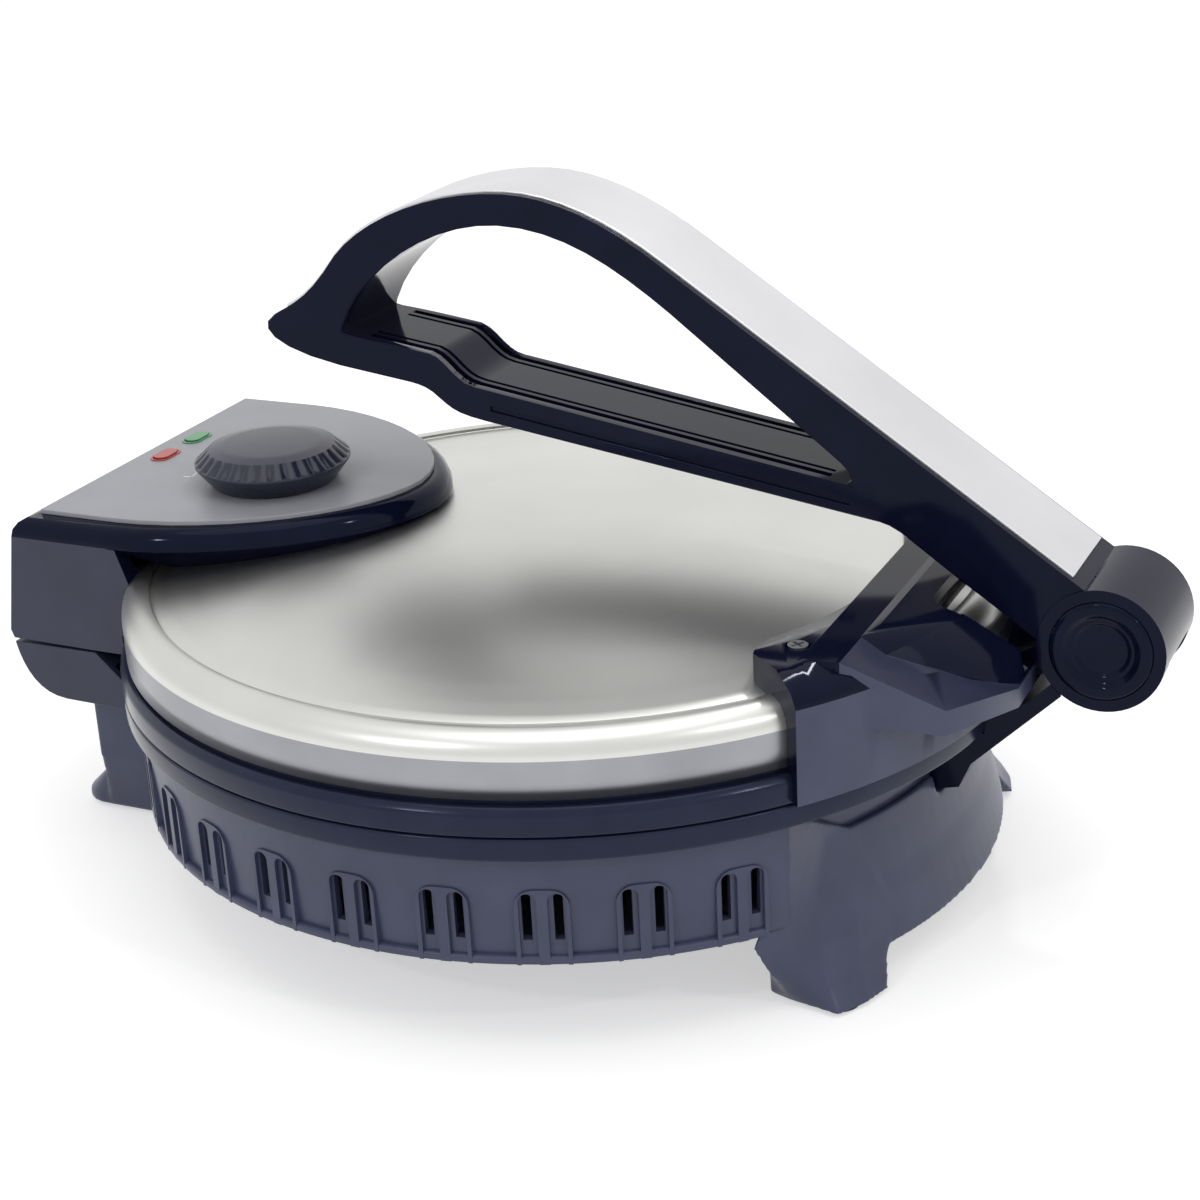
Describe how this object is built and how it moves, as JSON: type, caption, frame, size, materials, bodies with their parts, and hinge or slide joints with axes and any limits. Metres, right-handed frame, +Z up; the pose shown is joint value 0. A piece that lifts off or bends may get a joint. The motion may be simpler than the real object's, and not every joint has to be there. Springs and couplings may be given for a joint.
{
  "type": "electric roti maker",
  "caption": "Countertop flatbread maker: round vented base on splayed feet, hinged domed steel lid with a control housing and a turning knob, and a looped press handle pivoted at the rear.",
  "frame": {"origin": "on the table, under the centre of the closed machine's outline", "axes": "+Z up, -Y towards the cook and the control panel, +Y towards the hinge, +X to the cook's right"},
  "size_m": [0.2766, 0.355, 0.2098],
  "materials": {
    "black_plastic": "gloss",
    "slate_plastic": "satin",
    "polished_steel": "polished",
    "satin_steel": "satin",
    "zinc_steel": "satin",
    "coated_aluminium": "non-stick coating",
    "bare_aluminium": "mill",
    "tube_sheath": "heat-stained",
    "ceramic_wool": "fibrous",
    "panel_grey": "satin",
    "terminal_plastic": "satin",
    "pad_rubber": "matte",
    "gland_rubber": "matte",
    "red_plastic": "clear red",
    "green_plastic": "clear green",
    "lamp_glass": "clear",
    "thermostat_metal": "satin",
    "knob_plastic": "semi-gloss"
  },
  "bodies": {
    "base": {"base_shell": "slate_plastic", "base_rim": "black_plastic", "bottom_cover": "slate_plastic", "lower_plate": "coated_aluminium", "lower_element": "tube_sheath", "lower_reflector": "bare_aluminium", "base_posts": "zinc_steel", "front_housing": "black_plastic", "terminal_block": "terminal_plastic", "cord_gland": "gland_rubber", "front_stand": "slate_plastic", "rear_stand": "slate_plastic", "foot_pads": "pad_rubber", "hinge_arm": "black_plastic", "hinge_pin": "zinc_steel"},
    "lid": {"lid_cover": "polished_steel", "lid_ring": "black_plastic", "upper_plate": "coated_aluminium", "upper_element": "tube_sheath", "lid_insulation": "ceramic_wool", "lid_posts": "zinc_steel", "control_housing": "black_plastic", "control_panel": "panel_grey", "red_lens": "red_plastic", "green_lens": "green_plastic", "indicator_lamps": "lamp_glass", "thermostat": "thermostat_metal", "hinge_bracket": "black_plastic", "bracket_screws": "zinc_steel"},
    "knob": {"thermostat_knob": "knob_plastic", "knob_shaft": "zinc_steel"},
    "handle": {"handle_frame": "black_plastic", "handle_cover": "satin_steel", "hub_caps": "black_plastic", "handle_screws": "zinc_steel"}
  },
  "joints": [
    {"name": "lid_hinge", "type": "hinge", "parent": "base", "child": "lid", "pos_m": [0, 0.1595, 0.091], "axis": [-1, 0, 0], "range_deg": [0, 95]},
    {"name": "handle_pivot", "type": "hinge", "parent": "lid", "child": "handle", "pos_m": [0, 0.1595, 0.091], "axis": [1, 0, 0], "range_deg": [0, 6]},
    {"name": "knob_turn", "type": "hinge", "parent": "lid", "child": "knob", "pos_m": [0.013, -0.1055, 0.1132], "axis": [0, 0, -1], "range_deg": [0, 270]}
  ]
}
